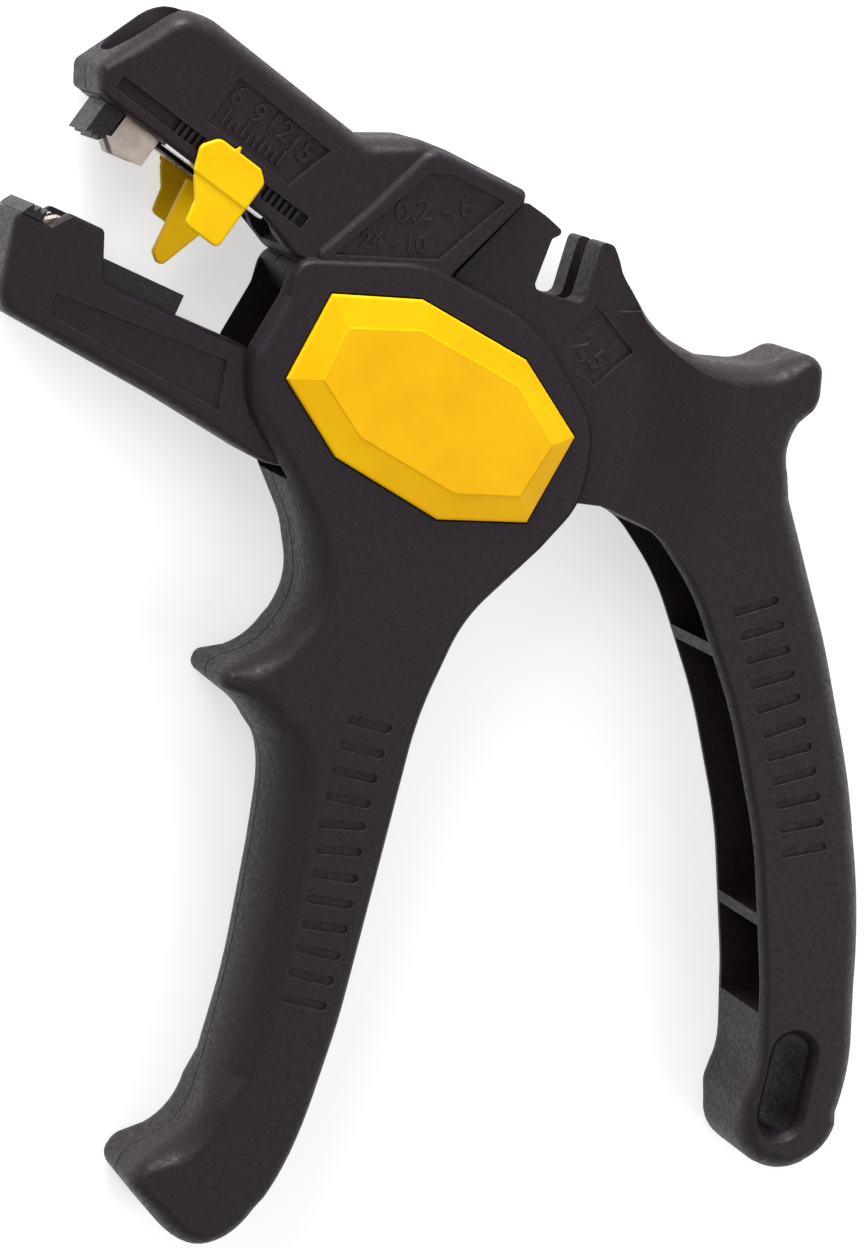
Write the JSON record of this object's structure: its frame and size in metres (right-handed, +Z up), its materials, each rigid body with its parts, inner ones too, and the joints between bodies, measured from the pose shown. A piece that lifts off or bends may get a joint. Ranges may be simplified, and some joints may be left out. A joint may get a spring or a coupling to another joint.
{
  "type": "wire stripper",
  "caption": "Pistol-style wire stripper with a sprung grip lever, closing lower jaw, pull-back blades, sliding length stop and side cutter.",
  "frame": {"origin": "main pin axis, in the plane of the rear side that the tool lies on", "axes": "+X towards the grip lever, +Y towards the jaws, +Z up out of the front side"},
  "size_m": [0.1174, 0.1611, 0.0212],
  "materials": {
    "black_plastic": "fine sandy grain",
    "black_insert": "smooth",
    "yellow_badge": "semi-gloss",
    "yellow_stop": "satin",
    "bright_steel": "brushed",
    "blade_steel": "ground",
    "spring_steel": "drawn",
    "screw_steel": "zinc",
    "bronze": "sintered",
    "pad_rubber": "matt"
  },
  "bodies": {
    "body": {"front_shell": "black_plastic", "rear_shell": "black_plastic", "front_badge": "yellow_badge", "rear_badge": "yellow_badge", "main_pin": "bright_steel", "jaw_pin": "bright_steel", "shell_screws": "screw_steel", "upper_grip": "black_insert", "cutter_blade": "blade_steel", "cutter_dowel": "bright_steel", "return_spring": "spring_steel"},
    "lever": {"grip_lever": "black_plastic", "lever_bushes": "bronze", "pull_pin": "bright_steel", "drive_pin": "bright_steel", "anvil_blade": "blade_steel"},
    "jaw": {"lower_jaw": "black_plastic", "jaw_arm": "bright_steel", "lower_grip": "black_insert", "carriage_spring": "spring_steel"},
    "carriage": {"lower_carriage": "black_insert", "lower_blades": "blade_steel"},
    "puller": {"pull_bar": "bright_steel", "blade_holder": "black_insert", "blade_pads": "pad_rubber", "upper_blades": "blade_steel"},
    "stop": {"length_stop": "yellow_stop"}
  },
  "joints": [
    {"name": "lever_squeeze", "type": "hinge", "parent": "body", "child": "lever", "pos_m": [0, 0, 0.01], "axis": [0, 0, -1], "range_deg": [0, 25], "stiffness_Nm_per_rad": 0.6, "springref_deg": -28.65, "deforming": ["return_spring"]},
    {"name": "jaw_close", "type": "hinge", "parent": "body", "child": "jaw", "pos_m": [-0.011, -0.005, 0.01], "axis": [0, 0, -1], "range_deg": [0, 11.6]},
    {"name": "blade_pull", "type": "slide", "parent": "body", "child": "puller", "axis": [0.7934, -0.6088, 0], "range_m": [0, 0.007]},
    {"name": "carriage_pull", "type": "slide", "parent": "jaw", "child": "carriage", "axis": [0.8996, -0.4368, 0], "range_m": [0, 0.007], "deforming": ["carriage_spring"]},
    {"name": "stop_slide", "type": "slide", "parent": "body", "child": "stop", "axis": [0.7934, -0.6088, 0], "range_m": [-0.003, 0.006]}
  ],
  "couplings": [
    {"joint": "jaw_close", "follows": "lever_squeeze", "ratio": 0.4639},
    {"joint": "blade_pull", "follows": "lever_squeeze", "m_per_rad": 0.01604},
    {"joint": "carriage_pull", "follows": "lever_squeeze", "m_per_rad": 0.01604}
  ]
}
